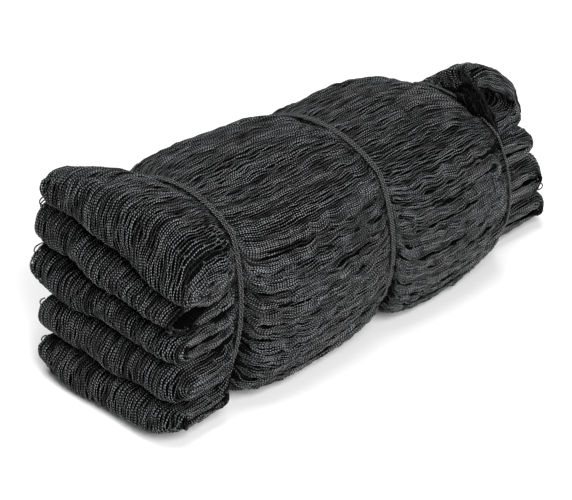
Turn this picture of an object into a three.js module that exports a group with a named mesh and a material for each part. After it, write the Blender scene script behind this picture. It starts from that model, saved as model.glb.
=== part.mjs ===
// A bundle of knotted safety netting, folded back and forth into ten thick layers,
// pulled in by three twine ties and lying on a surface.
// Millimetres, +Z up. X runs along the bundle, from the five folds at its low end to the four
// folds at its high end; the origin is on the surface, under the middle of the bundle.

import * as THREE from "three";

// Layers of the folded netting
const LAYERS = 10;
const LAYER_GAP = 1.2;
const FACES_ACROSS = 5;
const EDGE_CORNER = 0.95;

// Twine of the ties, and the room it keeps
const TWINE_DIAMETER = 2.8;
const TWINE_GAP = 0.3;
const TWINE_PITCH = 3.3;
const TIE_STEPS = 36;
const TIE_SIDES = 5;
const TIE_SAG = 1.3;
const GROOVE_HALF = 4.5;

// How the bundle swells between two ties
const SWELL_POWER = 0.3;
const SWELL_SKEW = 0.8;
const SWELL_STEPS = 7;

// How the bundle opens out from an outer tie to its folds
const FAN_POWER = 0.8;
const FAN_STEPS = 2;
const FOLD_STEPS = 5;

// Cross-sections along the bundle. front is the half width towards -Y and back towards +Y,
// high the half height, y and z the middle, round is 0 for a square section and 1 for an
// ellipse, and the section leans along X by leanUp for each mm up and leanAcross for each mm in Y.
const TIES = [
  { x: -197, front: 86, back: 98, high: 103, y: -17, z: 124, round: 0.75, leanUp: 0.1, leanAcross: -0.02 },
  { x: 8, front: 93, back: 108, high: 99, y: -29, z: 125, round: 0.75, leanUp: -0.03, leanAcross: 0.06 },
  { x: 198, front: 83, back: 98, high: 80, y: -40, z: 115, round: 0.75, leanUp: -0.11, leanAcross: 0.15 },
];
const SWELLS = [
  { front: 133, back: 133, high: 115, y: -2, z: 105, round: 0.75 },
  { front: 135, back: 135, high: 105, y: 0, z: 95, round: 0.75 },
];

// How far each layer's edges stay back where the bundle is fullest, from the top layer down.
const EDGE_INSETS = [
  { front: 0, back: 2 },
  { front: 4, back: 0 },
  { front: 1, back: 5 },
  { front: 6, back: 3 },
  { front: 2, back: 0 },
  { front: 0, back: 4 },
  { front: 5, back: 1 },
  { front: 2, back: 6 },
  { front: 4, back: 2 },
  { front: 0, back: 0 },
];

// Folds at each end, from the top down. Each pair gives the front edge, towards -Y, and the
// back edge, towards +Y: side is the edge's Y, reach its X, nose how far along X the fold
// turns, and hollow the open height inside.
const LOW_END_FOLDS = [
  {
    side: [-112, 102], reach: [-273, -284], nose: [27, 18],
    top: [229, 235], bottom: [162, 200], hollow: [3, 3],
  },
  {
    side: [-106, 114], reach: [-280, -288], nose: [14, 22],
    top: [158, 197], bottom: [131, 148], hollow: [10, 3],
  },
  {
    side: [-108, 119], reach: [-286, -297], nose: [14, 22],
    top: [127, 144], bottom: [99, 96], hollow: [4, 3],
  },
  {
    side: [-110, 101], reach: [-292, -303], nose: [20, 20],
    top: [95, 92], bottom: [54, 51], hollow: [3, 3],
  },
  {
    side: [-108, 99], reach: [-299, -310], nose: [18, 20],
    top: [50, 47], bottom: [19, 9], hollow: [4, 3],
  },
];
const HIGH_END_FOLDS = [
  {
    side: [-64, 44], reach: [278, 264], nose: [59, 21],
    top: [226, 165], bottom: [141, 135], hollow: [52, 4],
  },
  {
    side: [-80, 46], reach: [284, 290], nose: [16, 16],
    top: [137, 131], bottom: [102, 98], hollow: [6, 3],
  },
  {
    side: [-84, 48], reach: [303, 308], nose: [20, 18],
    top: [97, 94], bottom: [50, 55], hollow: [5, 3],
  },
  {
    side: [-84, 46], reach: [308, 310], nose: [16, 16],
    top: [45, 51], bottom: [16, 20], hollow: [5, 3],
  },
];
// The X at which each end has opened out fully, at its front edge and its back edge
const LOW_END = { tie: TIES[0], direction: -1, openX: [-246, -262] };
const HIGH_END = { tie: TIES[2], direction: 1, openX: [218, 242] };
// The two cut ends of the netting lie on the topmost and under the lowest of the high end's
// folds, and stop this many steps out from the tie.
const CUT_END_THICKNESS = 8;
const TOP_CUT_STEPS = 2;
const LOWEST_CUT_STEPS = 1;
// How far the folds arch at mid width, upwards at the top and downwards at the bottom
const CROWN_TOP = 16;
const CROWN_BOTTOM = 48;
const CROWN_MIDDLE_Z = 104;
const CROWN_REACH = 130;

const BLACK_NETTING = new THREE.MeshStandardMaterial({
  color: 0x1c1d1f,
  roughness: 0.62,
  metalness: 0,
});
const BLACK_TWINE = new THREE.MeshStandardMaterial({
  color: 0x2a2b2d,
  roughness: 0.5,
  metalness: 0,
});

const mix = (from, to, amount) => from + (to - from) * amount;
const mixPair = (pair, across) => mix(pair[0], pair[1], (across + 1) / 2);

// A section between two others; the named sizes swell towards the middle one.
function sectionBetween(start, end, middle, part) {
  const swell = Math.sin(Math.PI * part ** SWELL_SKEW) ** SWELL_POWER;
  const section = {};
  for (const size of Object.keys(start)) {
    const straight = mix(start[size], end[size], part);
    section[size] = size in middle ? mix(straight, middle[size], swell) : straight;
  }
  section.uneven = swell;
  return section;
}

// A point of a section: across and up run from -1 to 1 over a square that the section rounds off.
function sectionPoint(section, across, up) {
  const halfWidth = across < 0 ? section.front : section.back;
  const sideways = halfWidth * across * Math.sqrt(1 - (section.round * up * up) / 2);
  const upwards = section.high * up * Math.sqrt(1 - (section.round * across * across) / 2);
  return new THREE.Vector3(
    section.x + section.leanUp * upwards + section.leanAcross * sideways,
    section.y + sideways,
    section.z + upwards,
  );
}

// The up values of a layer's two faces in a section, top face first.
function layerFaces(section, layer) {
  const half = LAYER_GAP / 2 / section.high;
  const top = 1 - (2 * layer) / LAYERS - (layer === 0 ? 0 : half);
  const bottom = 1 - (2 * (layer + 1)) / LAYERS + (layer === LAYERS - 1 ? 0 : half);
  return [top, bottom];
}

// Heights of a fold's or cut end's faces at one place across it, with the crown added.
function heightAt(pair, across) {
  const height = mixPair(pair, across);
  const above = (height - CROWN_MIDDLE_Z) / CROWN_REACH;
  const crown = (above > 0 ? CROWN_TOP : CROWN_BOTTOM) * above ** 3;
  return height + crown * (1 - across * across);
}

// The heights of a layer's two faces where it meets a fold: the upper or lower layer of the
// fold itself, or a cut end lying above or below it.
function endFaces(fold, place, across) {
  const top = heightAt(fold.top, across);
  const bottom = heightAt(fold.bottom, across);
  const middle = (top + bottom) / 2;
  const half = mixPair(fold.hollow, across) / 2;
  if (place === "upper") return [top, middle + half];
  if (place === "lower") return [middle - half, bottom];
  if (place === "above") return [top + LAYER_GAP + CUT_END_THICKNESS, top + LAYER_GAP];
  return [bottom - LAYER_GAP, bottom - LAYER_GAP - CUT_END_THICKNESS];
}

// A row of points over one face of the netting, and the two points halfway up its edges, make a
// station; stations follow the netting from its top cut end to its lowest one.
const ACROSS = Array.from(
  { length: FACES_ACROSS + 1 },
  (_, i) => EDGE_CORNER * ((2 * i) / FACES_ACROSS - 1),
);

function station(pointAt, turned) {
  const topRow = ACROSS.map((across) => pointAt(across, 0));
  const bottomRow = ACROSS.map((across) => pointAt(across, 1));
  const edges = [-1, 1].map((across) => pointAt(across, 0).lerp(pointAt(across, 1), 0.5));
  const first = turned ? bottomRow : topRow;
  const second = turned ? topRow : bottomRow;
  return { turned, points: [edges[0], ...first, edges[1], ...second.reverse()] };
}

function onTheSurface(point) {
  point.z = Math.max(point.z, 0);
  return point;
}

function layerStation(section, layer) {
  const faces = layerFaces(section, layer);
  const uneven = section.uneven ?? 0;
  const pointAt = (across, face) => {
    const side = across < 0 ? "front" : "back";
    const inset = (uneven * EDGE_INSETS[layer][side]) / section[side];
    return onTheSurface(sectionPoint(section, across * (1 - inset), faces[face]));
  };
  return station(pointAt, layer % 2 === 1);
}

// A station between an outer tie and the start of a fold's nose. The last step runs from where
// the bundle is fully open to the nose.
function fanStation(end, layer, fold, place, step) {
  const { tie, direction, openX } = end;
  const groove = { ...tie, x: tie.x + direction * GROOVE_HALF };
  const faces = layerFaces(groove, layer);
  const part = Math.min(step / FAN_STEPS, 1);
  const opened = Math.sin((Math.PI / 2) * part) ** FAN_POWER;
  const pointAt = (across, face) => {
    const atTie = sectionPoint(groove, across, faces[face]);
    const noseX = mixPair(fold.reach, across) - direction * mixPair(fold.nose, across);
    const x = step > FAN_STEPS ? noseX : mix(atTie.x, mixPair(openX, across), part);
    const y = mix(atTie.y, mixPair(fold.side, across), opened);
    const z = mix(atTie.z, endFaces(fold, place, across)[face], opened);
    return onTheSurface(new THREE.Vector3(x, y, z));
  };
  return station(pointAt, layer % 2 === 1);
}

// A station part of the way round a fold's nose, from its upper layer to its lower one.
function noseStation(direction, fold, part) {
  const angle = Math.PI * (0.5 - part);
  const pointAt = (across, face) => {
    const depth = mixPair(fold.nose, across);
    const top = heightAt(fold.top, across);
    const bottom = heightAt(fold.bottom, across);
    const hollow = mixPair(fold.hollow, across);
    const high = face === 0 ? (top - bottom) / 2 : hollow / 2;
    const deep = face === 0 ? depth : (depth * hollow) / (top - bottom);
    const startX = mixPair(fold.reach, across) - direction * depth;
    const x = startX + direction * deep * Math.cos(angle);
    const z = (top + bottom) / 2 + high * Math.sin(angle);
    return onTheSurface(new THREE.Vector3(x, mixPair(fold.side, across), z));
  };
  return station(pointAt, direction > 0);
}

const parts = (steps) => Array.from({ length: steps - 1 }, (_, i) => (i + 1) / steps);
const easedParts = (steps) => parts(steps).map((part) => (1 - Math.cos(Math.PI * part)) / 2);

// Sections of the tied middle, from the low end's tie to the high end's.
function middleSections() {
  const sections = [];
  TIES.forEach((tie, i) => {
    sections.push({ ...tie, x: tie.x - GROOVE_HALF }, { ...tie, x: tie.x + GROOVE_HALF });
    if (i === TIES.length - 1) return;
    const start = { ...tie, x: tie.x + GROOVE_HALF };
    const end = { ...TIES[i + 1], x: TIES[i + 1].x - GROOVE_HALF };
    for (const part of easedParts(SWELL_STEPS)) {
      sections.push(sectionBetween(start, end, SWELLS[i], part));
    }
  });
  return sections;
}

// Stations from an outer tie out to where a layer turns or stops.
function fan(end, layer, fold, place, steps = FAN_STEPS + 1) {
  return Array.from({ length: steps }, (_, i) => fanStation(end, layer, fold, place, i + 1));
}

function lowEndFan(layer) {
  return fan(LOW_END, layer, LOW_END_FOLDS[Math.floor(layer / 2)], layer % 2 ? "lower" : "upper");
}

function highEndFan(layer) {
  if (layer === 0) return fan(HIGH_END, layer, HIGH_END_FOLDS[0], "above", TOP_CUT_STEPS);
  if (layer === LAYERS - 1) return fan(HIGH_END, layer, HIGH_END_FOLDS.at(-1), "below", LOWEST_CUT_STEPS);
  return fan(HIGH_END, layer, HIGH_END_FOLDS[Math.floor((layer - 1) / 2)], layer % 2 ? "upper" : "lower");
}

// Every station of the netting in order. Even layers, counted from 0 at the top, run towards the
// low end and odd ones back.
function nettingStations() {
  const sections = middleSections();
  const stations = [];
  for (let layer = 0; layer < LAYERS; layer++) {
    const middle = sections.map((section) => layerStation(section, layer));
    const towardsHigh = [...lowEndFan(layer).reverse(), ...middle, ...highEndFan(layer)];
    const towardsLow = layer % 2 === 0;
    stations.push(...(towardsLow ? towardsHigh.reverse() : towardsHigh));
    if (layer === LAYERS - 1) break;
    const fold = towardsLow ? LOW_END_FOLDS[layer / 2] : HIGH_END_FOLDS[(layer - 1) / 2];
    const direction = towardsLow ? -1 : 1;
    stations.push(...parts(FOLD_STEPS).map((part) => noseStation(direction, fold, part)));
  }
  return stations;
}

// The triangles of a strip across one station, from its front edge to its back edge.
function capTriangles(around) {
  const half = around / 2;
  const strip = [[0, 1, around - 1]];
  for (let j = 1; j < half - 1; j++) {
    strip.push([j, j + 1, around - j - 1], [j, around - j - 1, around - j]);
  }
  strip.push([half - 1, half, half + 1]);
  return strip;
}

// One closed skin over a row of stations, with a flat cap on each cut end. Layers that run back
// split their faces the other way, so that facing layers lie parallel.
function skinOver(stations) {
  const around = stations[0].points.length;
  const positions = stations.flatMap(({ points }) => points.flatMap((point) => point.toArray()));
  const triangles = [];
  for (let i = 0; i + 1 < stations.length; i++) {
    for (let j = 0; j < around; j++) {
      const here = i * around + j;
      const beside = i * around + ((j + 1) % around);
      if (stations[i].turned) {
        triangles.push(here, beside, beside + around, here, beside + around, here + around);
      } else {
        triangles.push(here, beside, here + around, beside, beside + around, here + around);
      }
    }
  }
  const last = (stations.length - 1) * around;
  for (const [a, b, c] of capTriangles(around)) {
    triangles.push(a, c, b, last + a, last + b, last + c);
  }
  const skin = new THREE.BufferGeometry();
  skin.setAttribute("position", new THREE.Float32BufferAttribute(positions, 3));
  skin.setIndex(triangles);
  skin.computeVertexNormals();
  return skin;
}

function makeNetting() {
  const netting = new THREE.Mesh(skinOver(nettingStations()), BLACK_NETTING);
  netting.name = "netting";
  return netting;
}

// A ring of twine drawn round the netting in a tie's groove.
function makeTwineRing(name, tie, along) {
  const stand = TWINE_DIAMETER / 2 + TWINE_GAP + TIE_SAG;
  const middle = sectionPoint(tie, 0, 0);
  const route = [];
  for (let i = 0; i < 2 * TIE_STEPS; i++) {
    const turn = (Math.PI * i) / TIE_STEPS;
    const longest = Math.max(Math.abs(Math.cos(turn)), Math.abs(Math.sin(turn)));
    const point = sectionPoint(tie, Math.cos(turn) / longest, Math.sin(turn) / longest);
    const outwards = point.clone().sub(middle).setX(0).normalize();
    route.push(point.addScaledVector(outwards, stand).add(new THREE.Vector3(along, 0, 0)));
  }
  const curve = new THREE.CatmullRomCurve3(route, true);
  const tube = new THREE.TubeGeometry(curve, TIE_STEPS, TWINE_DIAMETER / 2, TIE_SIDES, true);
  const ring = new THREE.Mesh(tube, BLACK_TWINE);
  ring.name = name;
  return ring;
}

const bundle = new THREE.Group();
bundle.add(makeNetting());
bundle.add(makeTwineRing("tie_low_outer", TIES[0], -TWINE_PITCH / 2));
bundle.add(makeTwineRing("tie_low_inner", TIES[0], TWINE_PITCH / 2));
bundle.add(makeTwineRing("tie_middle_outer", TIES[1], -TWINE_PITCH / 2));
bundle.add(makeTwineRing("tie_middle_inner", TIES[1], TWINE_PITCH / 2));
bundle.add(makeTwineRing("tie_high", TIES[2], 0));

export default bundle;
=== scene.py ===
"""A bundle of black knotted safety netting, folded back and forth and pulled in by twine ties.

Metres, +Z up. X runs along the bundle, from the five folds of its low end to the four folds of
its high end. The netting is a band that runs through ten layers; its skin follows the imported
model's sections and folds, and the twine of the mesh is laid over that skin strand by strand.
"""

import math
from collections import namedtuple

import bmesh
import bpy
import numpy as np
from mathutils import Matrix, Vector


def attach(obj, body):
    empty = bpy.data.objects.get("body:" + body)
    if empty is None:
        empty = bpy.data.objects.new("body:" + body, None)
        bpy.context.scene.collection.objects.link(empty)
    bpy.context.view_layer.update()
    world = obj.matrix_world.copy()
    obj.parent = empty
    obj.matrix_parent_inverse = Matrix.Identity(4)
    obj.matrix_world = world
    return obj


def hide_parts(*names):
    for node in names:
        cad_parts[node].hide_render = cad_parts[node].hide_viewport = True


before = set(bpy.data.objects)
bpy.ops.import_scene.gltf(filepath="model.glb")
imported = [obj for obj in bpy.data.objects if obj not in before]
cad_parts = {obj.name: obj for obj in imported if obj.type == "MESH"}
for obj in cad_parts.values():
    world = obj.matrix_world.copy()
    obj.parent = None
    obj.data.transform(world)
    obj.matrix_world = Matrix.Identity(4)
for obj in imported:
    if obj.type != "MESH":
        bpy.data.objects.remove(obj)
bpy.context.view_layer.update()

# Camera, at the photograph's angle
VIEW_AZIMUTH = -42.5
VIEW_ELEVATION = 33.0
VIEW_DISTANCE = 2.1627
VIEW_TARGET = (-0.0448, -0.010, 0.0879)
VIEW_ROLL = -0.9
VIEW_LENS = 125.87

# The bundle: sections at the three ties and at the two swells between them. front is the half
# width towards -Y and back towards +Y, high the half height, y and z the middle, and a section
# leans along X by lean_up for each metre up and by lean_across for each metre in Y.
Tie = namedtuple("Tie", "x front back high y z lean_up lean_across")
Swell = namedtuple("Swell", "front back high y z")
# How far a section rounds off its square, how full a swell is, and how wide a tie's groove is
ROUNDNESS = 0.75
SWELL_POWER = 0.3
SWELL_SKEW = 0.8
GROOVE_HALF = 0.0045
LOW_TIE = Tie(-0.197, 0.086, 0.098, 0.103, -0.017, 0.124, 0.10, -0.02)
MIDDLE_TIE = Tie(0.008, 0.093, 0.108, 0.099, -0.029, 0.125, -0.03, 0.06)
HIGH_TIE = Tie(0.198, 0.083, 0.098, 0.080, -0.040, 0.115, -0.11, 0.15)
LOW_SWELL = Swell(0.133, 0.133, 0.115, -0.002, 0.105)
HIGH_SWELL = Swell(0.135, 0.135, 0.105, 0.0, 0.095)

# Layers of the folded band. Their edges close on each other, apart from the folds.
LAYERS = 10
LAYER_GAP = 0.0003

# Folds at each end, from the top down. Each size is given at the front edge, towards -Y, and at
# the back edge: side is the edge's Y, reach its X, nose how far along X the fold turns, hollow
# the open height inside, sweep and tuck how far the corner falls back at its top and at its
# bottom, pinch the part of its height that the corner loses, eye how high up in the fold its two
# layers meet, and slant how far the fold's top falls back behind its bottom.
SIZES = "side reach nose top bottom hollow sweep tuck pinch eye slant"
Fold = namedtuple("Fold", SIZES, defaults=[(0, 0)])
LOW_END_FOLDS = [
    Fold((-0.112, 0.102), (-0.275, -0.284), (0.029, 0.018), (0.229, 0.235), (0.162, 0.200),
         (0.003, 0.003), (0.026, 0.006), (0.004, 0.006), (0.70, 0.30), (0.16, 0.40)),
    Fold((-0.101, 0.114), (-0.289, -0.288), (0.034, 0.022), (0.160, 0.197), (0.131, 0.148),
         (0.024, 0.003), (0.006, 0.006), (0.006, 0.006), (0, 0.25), (0.50, 0.45)),
    Fold((-0.108, 0.119), (-0.286, -0.297), (0.014, 0.022), (0.127, 0.144), (0.099, 0.096),
         (0.005, 0.003), (0.014, 0.006), (0.014, 0.006), (0.10, 0.25), (0.50, 0.45)),
    Fold((-0.110, 0.101), (-0.292, -0.303), (0.020, 0.020), (0.095, 0.092), (0.054, 0.051),
         (0.003, 0.003), (0.018, 0.005), (0.018, 0.005), (0.35, 0.20), (0.35, 0.45)),
    Fold((-0.108, 0.099), (-0.299, -0.310), (0.018, 0.020), (0.050, 0.047), (0.019, 0.009),
         (0.003, 0.003), (0.020, 0.006), (0.020, 0.006), (0.45, 0.25), (0.30, 0.45)),
]
HIGH_END_FOLDS = [
    Fold((-0.064, 0.044), (0.262, 0.258), (0.042, 0.021), (0.238, 0.176), (0.139, 0.135),
         (0.052, 0.004), (0, 0), (0, 0), (0, 0), (0.50, 0.50), (0.056, 0)),
    Fold((-0.080, 0.046), (0.284, 0.290), (0.016, 0.016), (0.137, 0.131), (0.102, 0.098),
         (0.006, 0.003), (0.012, 0.008), (0.012, 0.008), (0.20, 0.20), (0.50, 0.50)),
    Fold((-0.084, 0.048), (0.303, 0.308), (0.020, 0.018), (0.097, 0.094), (0.050, 0.055),
         (0.005, 0.003), (0.014, 0.008), (0.014, 0.008), (0.30, 0.20), (0.45, 0.50)),
    Fold((-0.084, 0.046), (0.308, 0.310), (0.016, 0.016), (0.045, 0.051), (0.016, 0.020),
         (0.005, 0.003), (0.014, 0.008), (0.014, 0.008), (0.35, 0.20), (0.40, 0.50)),
]
# Where a fold's corners start, how square the arch is below, how deep a fold's eye goes beside
# its nose, how far before the nose its fan is fully open, and the hollow that opens evenly
CORNER_START = 0.68
LOWER_SQUARENESS = 0.5
EYE_REACH = 0.55
NOSE_RUN = 0.008
SHUT_HOLLOW = 0.024
# An end fans out from its tie towards direction, and is fully open at these X, front and back.
End = namedtuple("End", "tie direction open_x folds")
LOW_END = End(LOW_TIE, -1, (-0.246, -0.262), LOW_END_FOLDS)
HIGH_END = End(HIGH_TIE, 1, (0.218, 0.242), HIGH_END_FOLDS)
FAN_POWER = 0.8
GAP_START = 0.25
GAP_POWER = 3
# The two cut ends of the netting, above the arch and below the lowest fold of the high end
CUT_END_THICKNESS = 0.0035
CUT_END_GAP = 0.0003
TOP_CUT_PART = 0.34
LOWEST_CUT_PART = 0.5
# Folds arch at mid width, away from the bundle's middle height
CROWN_TOP = 0.016
CROWN_BOTTOM = 0.048
CROWN_MIDDLE_Z = 0.104
CROWN_REACH = 0.130

# How closely the band is followed: stops in a swell, in a fan, on the way to a nose and round it
SWELL_STOPS = 30
FAN_STOPS = 9
NOSE_APPROACH = [1.35, 1.7, 2.0]
NOSE_STOPS = 14

# Unevenness of the netting's surface: broad lumps, narrow creases that run with the twine, finer
# ones across it, and pleats beside the ties. Each is made of a few waves of about its size.
WAVES = 9
WAVE_SPREAD = (1.5, 3.2)
LUMP_SIZE = 0.026
LUMP_HEIGHT = 0.0011
FOLD_LUMPS = 1.7
CREASE_SIZE = 0.017
CREASE_DEPTH = 0.0018
CREASE_WIDTH = 0.13
ALONG_TWINE = 0.6
ACROSS_TWINE = 0.4
CROSS_CREASE_WIDTH = 0.10
CROSS_CREASE_PART = 0.6
# Painted shade on the strands in creases
CREASE_SHADE = 0.6
PLEAT_SIZE = 0.00675
PLEAT_ALONG = 0.2
PLEAT_DEPTH = 0.0011
PLEAT_LENGTH = 0.022
# It fades out over a few stops where the band goes in between other layers.
SHOWING_BLUR = 3

# Furrows that show on the front: a soft trough along a line, with its half width and its depth.
# They taper off at both ends.
FURROW_TAPER = 0.03
Furrow = namedtuple("Furrow", "start end width depth")
FURROWS = [
    Furrow((-0.212, -0.095, 0.212), (-0.150, -0.128, 0.196), 0.0035, 0.0045),
    Furrow((-0.208, -0.110, 0.150), (-0.140, -0.134, 0.124), 0.0040, 0.0050),
    Furrow((-0.112, -0.134, 0.082), (-0.062, -0.134, 0.072), 0.0045, 0.0055),
    Furrow((-0.150, -0.132, 0.060), (-0.108, -0.134, 0.046), 0.0030, 0.0030),
    Furrow((-0.180, -0.120, 0.112), (-0.128, -0.134, 0.104), 0.0030, 0.0030),
    Furrow((-0.085, -0.134, 0.150), (-0.052, -0.132, 0.128), 0.0030, 0.0030),
    Furrow((0.016, -0.118, 0.196), (0.062, -0.130, 0.182), 0.0035, 0.0045),
    Furrow((0.036, -0.126, 0.172), (0.072, -0.132, 0.164), 0.0030, 0.0040),
    Furrow((0.108, -0.098, 0.196), (0.142, -0.100, 0.188), 0.0040, 0.0028),
    Furrow((0.060, -0.134, 0.104), (0.110, -0.134, 0.090), 0.0030, 0.0030),
    Furrow((-0.267, 0.042, 0.238), (-0.215, 0.022, 0.236), 0.0050, 0.0050),
]

# Twine of the mesh. Strands lie side by side round the band, over its two faces and its two edges,
# and meet in pairs at rows of knots. A bar runs from one row to the next.
TWINE_RADIUS = 0.00090
RADIUS_SPREAD = (0.9, 1.1)
TWINE_SIDES = 4
SHORTEST_RUN = 3
FACE_STRANDS = 82
EDGE_STRANDS = 21
FACES = {"first": FACE_STRANDS, "back": EDGE_STRANDS, "second": FACE_STRANDS, "front": EDGE_STRANDS}
FACE_EDGE = 0.985
EDGE_ROUNDING = 0.035
BAR_STEPS = 3
BAR_LENGTH = 0.0135
STEP_PERCENTILE = 85
KNOT_RADIUS = 0.0015
KNOT_ASIDE = 0.3

# One strand in so many is laid on each edge, underneath and beyond the high tie, where the spare
# ones sink away under the others and the rest are thicker. A face shows from this part of a fan.
EDGE_SPACING = 2
BACK_SPACING = 4
UNDERSIDE_SPACING = 2
HIGH_END_SPACING = 2
HIGH_END_RADIUS = 1.15
SINK_DEPTH = 0.004
LOW_END_BARE = 0.7
HIGH_END_BARE = 0.5
PIECE_AT_END = {"low": "netting_low_folds", "high": "netting_high_folds"}

# How strands shift sideways: to and fro at the knots, slanting between two rows of them, with the
# weave, and each on its own. Tops and folds are calmer than sides.
ZIGZAG = 0.0005
ROW_SHIFT = 0.5
ROW_SHIFT_SIZE = 1.5 * LUMP_SIZE
SLANT_SIZE = 0.015
SLANT_SIDEWAYS = 0.0021
SLANT_ALONG = 0.25
ROW_APART = (0.31, 0.11, 0.07)
WEAVE_SIZE = 0.012
FINE_WEAVE_SIZE = WEAVE_SIZE / 2.5
WEAVE_SIDEWAYS = 0.0008
WEAVE_ALONG = 1.0
STRAND_SIDEWAYS = 0.0009
COARSE_WANDER = 4
FINE_WANDER = 2
LOOSE_SIZE = 2 * LUMP_SIZE
LOOSE_MIDDLE = 0.8
LOOSE_SPREAD = 0.35
LOOSE_LOWEST = 0.2
TOP_TIGHT = 0.35
TOP_CALM = 0.55
FOLD_CALM = 0.4

# How high strands lie, and how light they are: each strand's own tone, with painted shade where
# they lie low, in creases, at rows of knots and beside ties
STRAND_HEIGHT = 0.0010
COARSE_PART = 0.7
BAR_BULGE = 0.0012
TONE_MIDDLE = 0.58
TONE_SPREAD = 0.3
# Painted shade on strands that lie low
PAINTED_SHADE_BY_HEIGHT = 0.8
TONE_RANGE = (0.06, 1.2)
# Painted shade on the strands at rows of knots and beside ties
ROW_SHADE = 0.5
TIE_SHADE = 0.75
TIE_SHADE_WIDTH = 0.008

# The dark skin under the strands, painted shade for the netting's depths
SKIN_DEPTH = 0.0032
EDGE_SKIN_DEPTH = 0.0020
SKIN_STRAND_STEP = 3
LOWEST_SKIN = 0.0008

# Look of the twine: how narrow the painted highlight along its outward crown is, how narrow
# each ply's ridge is, with painted shade between plies, how long a turn of its plies is, its
# bump and sheen, and how its painted highlight colour drifts into a tinted one.
PAINTED_HIGHLIGHT_SHARPNESS = 6.0
PLY_SHADE_SHARPNESS = 2.2
TWINE_PLIES = 3
TWINE_LAY = 0.009
TIE_TWINE_LAY = 0.006
PLY_BUMP = 0.0006
TWINE_ROUGHNESS = 0.30
TWINE_SHEEN = 0.12
DRIFT_SCALE = 22
DRIFT_CONTRAST = 4
DRIFT_SHIFT = -1.6
# The dark colours are the black of the twine, shown where its painted shade is deepest; the light ones are
# painted highlights along the crowns of strands and plies.
NETTING_DARK = (0.0008, 0.0008, 0.0009)
NETTING_PAINTED_HIGHLIGHT = (0.450, 0.454, 0.470)
NETTING_TINTED_HIGHLIGHT = (0.420, 0.454, 0.462)
TIE_DARK = (0.008, 0.008, 0.009)
TIE_PAINTED_HIGHLIGHT = (0.620, 0.625, 0.635)

# Look of the skin: painted shade with dim strands in wavy lines, lit along their crowns by
# painted light, with their plies
SKIN_PAINTED_SHADE = (0.0005, 0.0005, 0.0005)
SKIN_PAINTED_CROWN_LIGHT = (0.012, 0.012, 0.0125)
SKIN_WAVE = 1.6
SKIN_WAVE_SCALE = 90
# How narrow the painted light along the dim strands' crowns is, and how deep the painted shade between
# their plies
SKIN_CROWN_SHARPNESS = 2
SKIN_RIDGE = 0.4

# Loose loops of single twine that stand out from the folds: where, how far out and how high
Loop = namedtuple("Loop", "place out high")
LOOPS = [
    Loop((-0.268, 0.110, 0.194), 0.008, 0.0045),
    Loop((-0.264, 0.112, 0.188), 0.010, 0.0050),
    Loop((-0.270, 0.108, 0.181), 0.008, 0.0040),
    Loop((-0.277, 0.112, 0.139), 0.010, 0.0050),
    Loop((-0.279, 0.110, 0.132), 0.008, 0.0045),
    Loop((-0.280, 0.113, 0.125), 0.009, 0.0050),
    Loop((-0.289, 0.100, 0.083), 0.005, 0.0035),
    Loop((-0.293, 0.098, 0.038), 0.005, 0.0035),
    Loop((0.264, -0.070, 0.134), 0.007, 0.0040),
    Loop((0.266, -0.066, 0.123), 0.008, 0.0045),
    Loop((0.291, -0.078, 0.066), 0.006, 0.0040),
    Loop((0.292, -0.080, 0.056), 0.006, 0.0035),
    Loop((0.296, -0.076, 0.030), 0.007, 0.0045),
    Loop((0.294, -0.080, 0.021), 0.007, 0.0040),
]
LOOP_MARKS = 13
LOOP_TURN = 0.62 * math.pi
LOOP_TWIST = 0.25
LOOP_TWIST_RATE = 1.5
LOOP_SPREAD = (1, 0.1, 1)
LOOP_FACING = (0, -0.4, 0)
LOOP_TONE = 0.8

# Twine of the ties: plies that wind round each other, a little above the waist that they pull in
TIE_RADIUS = 0.0014
TIE_PLIES = 3
TIE_PITCH = 0.0033
TIE_LAY = 0.0075
TIE_STEPS_A_LAY = 7
TIE_PATH_MARKS = 721
TIE_STAND = 0.0030
PLY_FULLNESS = 1.08

# Floor and lights
FLOOR_SIZE = 6
FLOOR_COLOUR = (0.9, 0.9, 0.9)
MATT = 0.9
AMBIENT = 0.17
Light = namedtuple("Light", "name place size power")
LIGHTS = [
    Light("overhead", (-0.2, 0.1, 2.3), 1.6, 50),
    Light("front", (-0.8, -2.0, 1.9), 1.4, 100),
]
LIGHTS_AIM = (0, 0, 0.1)

# Every uneven field has its own seed, and one that is mixed of two takes the next one as well.
SEED = 11
(LUMP_SEED, PLEAT_SEED, CREASE_SEED, ROW_SEED, WEAVE_SEED,
 FINE_WEAVE_SEED, LOOSE_SEED, CROSS_CREASE_SEED, SLANT_SEED) = range(21, 102, 10)

# A stop along the band: place gives its points, opened is 0 in the tied middle and 1 at a fold,
# part is how far along its zone it lies, and turned is for layers that run the other way up.
Stop = namedtuple("Stop", "place opened layer zone part turned")


def mix(start, end, amount):
    return start + (end - start) * amount


def between_edges(pair, across):
    """A size given at the front and back edges, at places from -1 to 1 across the band."""
    return mix(*pair, (across + 1) / 2)


def unit(vectors):
    return vectors / np.maximum(np.linalg.norm(vectors, axis=-1, keepdims=True), 1e-9)


def added_up(steps):
    """The running total of steps, from 0."""
    return np.concatenate([[0], np.cumsum(steps)])


def lengths_along(points):
    """The length from the start of a line to each of its points."""
    return added_up(np.linalg.norm(np.diff(points, axis=0), axis=1))


# Sections of the tied middle

def section_point(section, across, up):
    """Points of a section; across and up run from -1 to 1 over a square that it rounds off."""
    half_width = np.where(across < 0, section.front, section.back)
    sideways = half_width * across * np.sqrt(1 - ROUNDNESS * up**2 / 2)
    upwards = section.high * up * np.sqrt(1 - ROUNDNESS * across**2 / 2)
    x = section.x + section.lean_up * upwards + section.lean_across * sideways
    return np.stack([x, section.y + sideways, section.z + upwards], axis=-1)


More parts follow.
